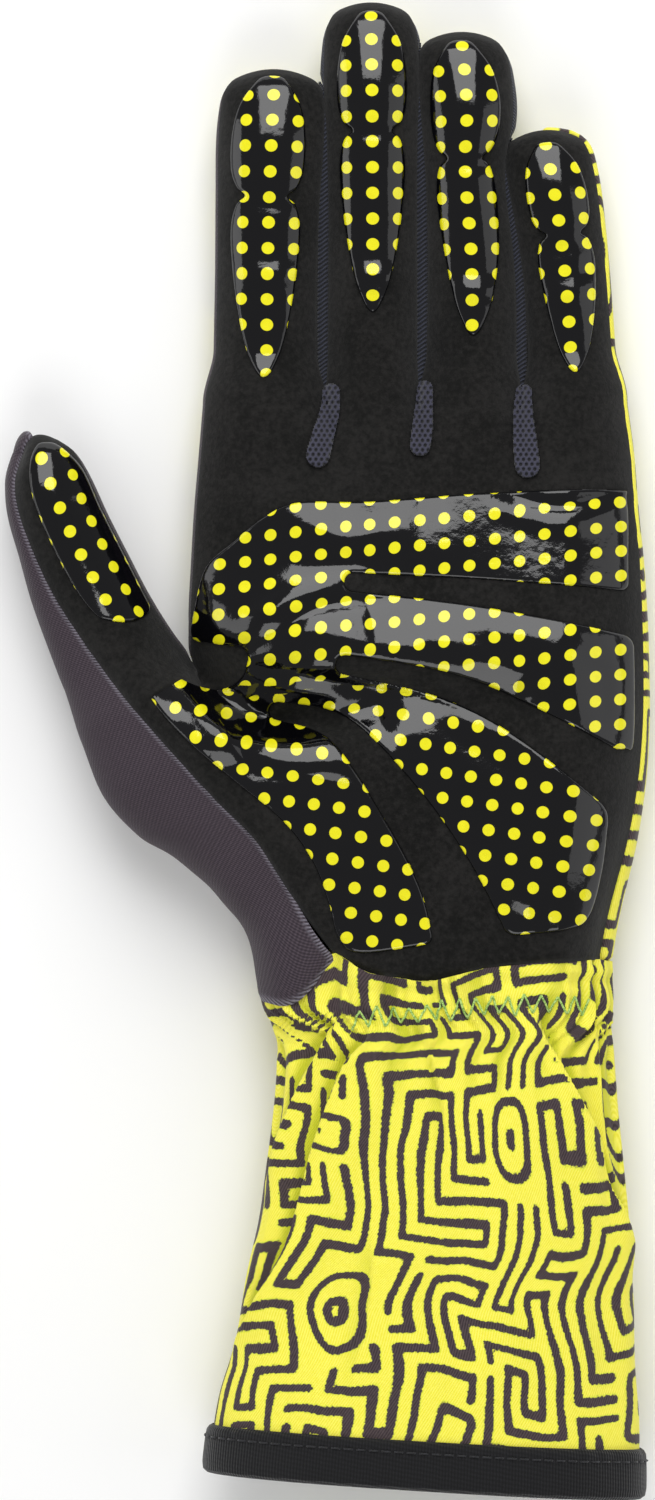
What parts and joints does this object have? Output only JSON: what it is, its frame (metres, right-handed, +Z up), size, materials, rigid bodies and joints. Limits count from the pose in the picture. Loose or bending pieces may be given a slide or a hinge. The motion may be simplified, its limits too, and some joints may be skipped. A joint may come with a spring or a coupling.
{
  "type": "karting glove",
  "caption": "Long-cuffed karting glove for the left hand, hollow from the hem to the fingertips, with a suede palm, bonded silicone grips and a printed stretch back.",
  "frame": {"origin": "on the surface the glove lies on, under the middle of its box", "axes": "+Z up out of the palm, +Y towards the fingertips, the thumb on the -X side"},
  "size_m": [0.1292, 0.2998, 0.0356],
  "materials": {
    "suede": "matte synthetic suede",
    "printed_cloth": "stretch knit with a printed maze of dark lines",
    "thumb_cloth": "matte foam-backed knit",
    "side_cloth": "open stretch mesh",
    "grip_rubber": "glossy silicone with yellow dots",
    "binding": "stretch tape"
  },
  "bodies": {
    "root": {"palm_panel": "suede", "back_panel": "printed_cloth", "cuff": "printed_cloth", "thumb_panel": "thumb_cloth", "fourchette_thumb_index": "side_cloth", "fourchette_index_middle": "side_cloth", "fourchette_middle_ring": "side_cloth", "fourchette_ring_little": "side_cloth", "gusset_index_middle": "side_cloth", "gusset_middle_ring": "side_cloth", "gusset_ring_little": "side_cloth", "grip_palm": "grip_rubber", "grip_index": "grip_rubber", "grip_middle": "grip_rubber", "grip_ring": "grip_rubber", "grip_little": "grip_rubber", "grip_thumb": "grip_rubber", "cuff_binding": "binding"}
  },
  "joints": []
}
